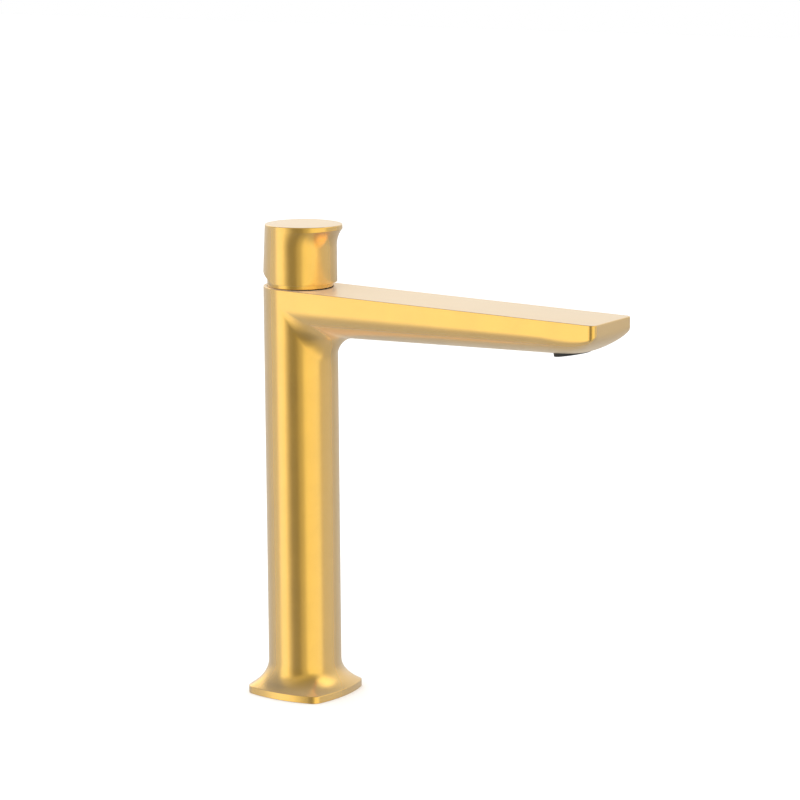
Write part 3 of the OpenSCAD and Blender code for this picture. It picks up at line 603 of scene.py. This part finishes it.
black_plastic = finish_of("black_plastic", BLACK, 0, 0.42, 0.06, 3000, 0.000004, 0.25)
insert = spun("aerator_rim", [
    *arc(MOUTH_R + RIM_ROUND, RIM_ROUND, RIM_ROUND, -180, -90, 4),
    *arc(AERATOR_R - RIM_ROUND, RIM_ROUND, RIM_ROUND, -90, 0, 4),
    (AERATOR_R, AERATOR_H), (INSIDE_R, AERATOR_H), (INSIDE_R, MOUTH_DEPTH), (MOUTH_R, MOUTH_DEPTH)], 96)
for i in range(KEY_NOTCHES):
    turn = 2 * math.pi * i / KEY_NOTCHES
    combine(insert, turned(
        NOTCH_R, -PAST, NOTCH_DEPTH, MOUTH_R * math.cos(turn), MOUTH_R * math.sin(turn), 16))
tilted(insert, AERATOR_FRAME)
finish_shading(insert)
paint(insert, black_plastic)
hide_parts("aerator_housing")
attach(insert, "fixed")

cells = []
for i in range(-RINGS, RINGS + 1):
    for j in range(-RINGS, RINGS + 1):
        x, y = CELL * math.sqrt(3) * (i + j / 2), CELL * 1.5 * j
        if math.hypot(x, y) < MOUTH_R - CELL * CELL_INSIDE:
            deselect_all()
            bpy.ops.mesh.primitive_circle_add(
                vertices=6, radius=CELL, location=(x, y, 0), fill_type="NGON")
            cells.append(bpy.context.object)
            bpy.ops.object.mode_set(mode="EDIT")
            bpy.ops.mesh.inset(thickness=CELL_WALL)
            bpy.ops.mesh.delete(type="FACE")
            bpy.ops.object.mode_set(mode="OBJECT")
deselect_all()
for cell in cells:
    cell.select_set(True)
bpy.context.view_layer.objects.active = cells[0]
bpy.ops.object.join()
grille = bpy.context.object
grille.name = "aerator_grille"
bpy.ops.object.transform_apply(location=True, rotation=True, scale=True)
bpy.ops.object.mode_set(mode="EDIT")
bpy.ops.mesh.select_all(action="SELECT")
bpy.ops.mesh.remove_doubles(threshold=NEAR)
bpy.ops.mesh.extrude_region_move(TRANSFORM_OT_translate={"value": (0, 0, GRILLE_T)})
bpy.ops.mesh.select_all(action="SELECT")
bpy.ops.mesh.normals_make_consistent(inside=False)
bpy.ops.object.mode_set(mode="OBJECT")
tilted(grille, AERATOR_FRAME @ Matrix.Translation((0, 0, GRILLE_Z)))
paint(grille, black_plastic)
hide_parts("aerator_screen")
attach(grille, "fixed")


# ---------------------------------------------------------------- pieces kept from the frame
# The cartridge and its seals, the nut, the spindle and the small fasteners have their true
# shape already, and get only their finish.

rubber = finish_of("black_rubber", (0.012, 0.012, 0.012, 1), 0, 0.6, 0.08, 2200, 0.00001, 0.3)
white_plastic = finish_of("white_plastic", (0.80, 0.78, 0.71, 1), 0, 0.45, 0.05, 1800, 0.000006, 0.08)
cream_plastic = finish_of("cream_plastic", (0.62, 0.58, 0.48, 1), 0, 0.5, 0.05, 1800, 0.000006, 0.08)
grey_plastic = finish_of("grey_plastic", (0.04, 0.04, 0.04, 1), 0, 0.45, 0.05, 1800, 0.000006, 0.2)
ceramic = finish_of("lapped_ceramic", (0.90, 0.89, 0.85, 1), 0, 0.12, 0.03, 4000, 0.000001, 0.03)
brass = finish_of("turned_brass", (0.62, 0.42, 0.14, 1), 1, 0.34, 0.06, 2600, 0.000004, 0.15, (1, 1, 6))
steel = finish_of("turned_steel", (0.50, 0.50, 0.50, 1), 1, 0.30, 0.05, 2600, 0.000003, 0.12, (6, 1, 1))

# The retaining nut takes the near-black brass too: painted shade, for its flange seen in the gap under
# the dome.
FINISHES = {
    "base_gasket": rubber, "cartridge_seal": rubber, "port_seals": rubber, "guide_seal": rubber,
    "aerator_seal": rubber, "cartridge_base": white_plastic, "swivel_guide": white_plastic,
    "cartridge_housing": white_plastic, "disc_carrier": cream_plastic, "fixed_disc": ceramic,
    "moving_disc": ceramic, "retaining_nut": painted_shade_brass, "spindle": brass, "pivot_pin": steel,
    "grub_screw": steel, "flow_regulator": grey_plastic,
}
for node, material in FINISHES.items():
    paint(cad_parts[node], material)


# ---------------------------------------------------------------- floor and light
# A plain pale floor in a white room. The room's brightness changes softly with direction, as a
# studio's does with its lamps and dark flags, which gives the metal its light and dark bands.

deselect_all()
bpy.ops.mesh.primitive_plane_add(size=12)
floor = bpy.context.object
floor.name = "floor"
paper = bpy.data.materials.new("floor_paper")
paper.use_nodes = True
surface = paper.node_tree.nodes["Principled BSDF"].inputs
surface["Base Color"].default_value = (0.93, 0.93, 0.93, 1)
surface["Roughness"].default_value = 0.9
surface["Specular IOR Level"].default_value = 0
floor.data.materials.append(paper)
floor.visible_glossy = False

VIEW_TURN = math.radians(-56.948)
VIEW_RISE = math.radians(10.442)
TO_CAMERA = Vector((math.sin(VIEW_TURN) * math.cos(VIEW_RISE),
                    -math.cos(VIEW_TURN) * math.cos(VIEW_RISE), math.sin(VIEW_RISE)))

# Brightness of the room, of its ceiling and of its floor's middle, and between which heights on
# a unit ball each comes in.
ROOM, ZENITH, NADIR = 0.55, 0.3, 0.75
ZENITH_FADE, NADIR_FADE = (0.4, 0.95), (-0.75, -0.25)
# Each lamp or dark flag: its bearing in degrees to the right of the camera, its half width, the
# softness of its edge, its lowest and highest rise as heights on a unit ball, and its strength.
LOW_FADE, HIGH_FADE = (-0.35, 0.25), (-0.3, 0)
LAMPS = [
    (-64, 7, 17, -0.45, 0.5, 0.65),
    (-24, 8, 12, -0.9, 0.5, -0.26),
    (33, 18, 16, -0.6, 0.6, 0.5),
    (180, 60, 40, 0.05, 0.6, 0.2),
    (180, 50, 40, -0.8, 0.1, -0.22),
    (-100, 18, 15, 0.15, 0.9, -0.3),
    (82, 12, 22, 0.45, 0.95, 1.1),
    (-150, 18, 20, 0.38, 0.85, 0.9),
]

world = bpy.data.worlds.new("studio")
bpy.context.scene.world = world
world.use_nodes = True
nodes, links = world.node_tree.nodes, world.node_tree.links
direction = nodes.new("ShaderNodeTexCoord").outputs["Generated"]
split = nodes.new("ShaderNodeSeparateXYZ")
links.new(direction, split.inputs["Vector"])
level = nodes.new("ShaderNodeVectorMath")
level.operation = "MULTIPLY"
level.inputs[1].default_value = (1, 1, 0)
links.new(direction, level.inputs[0])
bearing = nodes.new("ShaderNodeVectorMath")
bearing.operation = "NORMALIZE"
links.new(level.outputs["Vector"], bearing.inputs[0])


def calculate(operation, first, second):
    node = nodes.new("ShaderNodeMath")
    node.operation = operation
    for socket_in, value in zip(node.inputs, (first, second)):
        if isinstance(value, (int, float)):
            socket_in.default_value = value
        else:
            links.new(value, socket_in)
    return node.outputs["Value"]


def ramp(value, start, end, low, high):
    node = nodes.new("ShaderNodeMapRange")
    node.interpolation_type = "SMOOTHERSTEP"
    for name, number in (("From Min", start), ("From Max", end), ("To Min", low), ("To Max", high)):
        node.inputs[name].default_value = number
    links.new(value, node.inputs["Value"])
    return node.outputs["Result"]


height = split.outputs["Z"]
light = ramp(height, *ZENITH_FADE, ROOM, ZENITH)
for right_of_camera, half, soft, low, high, strength in LAMPS:
    turn = math.atan2(TO_CAMERA.y, TO_CAMERA.x) + math.radians(right_of_camera)
    aim = nodes.new("ShaderNodeVectorMath")
    aim.operation = "DOT_PRODUCT"
    aim.inputs[1].default_value = (math.cos(turn), math.sin(turn), 0)
    links.new(bearing.outputs["Vector"], aim.inputs[0])
    off = calculate("ARCCOSINE", aim.outputs["Value"], 0)
    across = ramp(off, math.radians(half), math.radians(half + soft), strength, 0)
    rise = calculate("MULTIPLY", ramp(height, low + LOW_FADE[0], low + LOW_FADE[1], 0, 1),
                     ramp(height, high + HIGH_FADE[0], high + HIGH_FADE[1], 1, 0))
    light = calculate("ADD", light, calculate("MULTIPLY", across, rise))
light = calculate("MULTIPLY", light, ramp(height, *NADIR_FADE, NADIR, 1.0))
seen = nodes.new("ShaderNodeLightPath")
white = nodes.new("ShaderNodeMix")
white.data_type = "FLOAT"
links.new(seen.outputs["Is Camera Ray"], white.inputs["Factor"])
links.new(light, white.inputs["A"])
white.inputs["B"].default_value = 1.0
links.new(white.outputs["Result"], nodes["Background"].inputs["Strength"])
nodes["Background"].inputs["Color"].default_value = (1, 1, 1, 1)

# Soft daylight from above keeps the floor pale. The metal doesn't mirror it.
deselect_all()
bpy.ops.object.light_add(type="SUN", location=(-0.7, -0.2, 1.6))
daylight = bpy.context.object
daylight.name = "daylight"
daylight.data.energy = 2.6
daylight.data.angle = math.radians(120)
daylight.rotation_euler = (math.radians(-8), math.radians(-10), 0)
daylight.visible_glossy = False


# ---------------------------------------------------------------- camera
# The camera looks at the middle of the mixer from its left and a little above, through a long
# lens, with a very slight lean.

AIM = Vector((33.4, -51.4, 186.3)) * MM
DISTANCE = 1874.66 * MM
LENS = 134.96
LEAN = math.radians(-0.399)

camera_data = bpy.data.cameras.new("camera")
camera_data.lens = LENS
camera_data.sensor_width = 36
camera_data.clip_end = 100
camera = bpy.data.objects.new("camera", camera_data)
bpy.context.scene.collection.objects.link(camera)
camera.location = AIM + TO_CAMERA * DISTANCE
camera.rotation_euler = ((-TO_CAMERA).to_track_quat("-Z", "Y").to_matrix()
                         @ Matrix.Rotation(LEAN, 3, "Z")).to_euler()
bpy.context.scene.camera = camera
bpy.context.scene.view_settings.view_transform = "Standard"
bpy.context.scene.view_settings.look = "None"
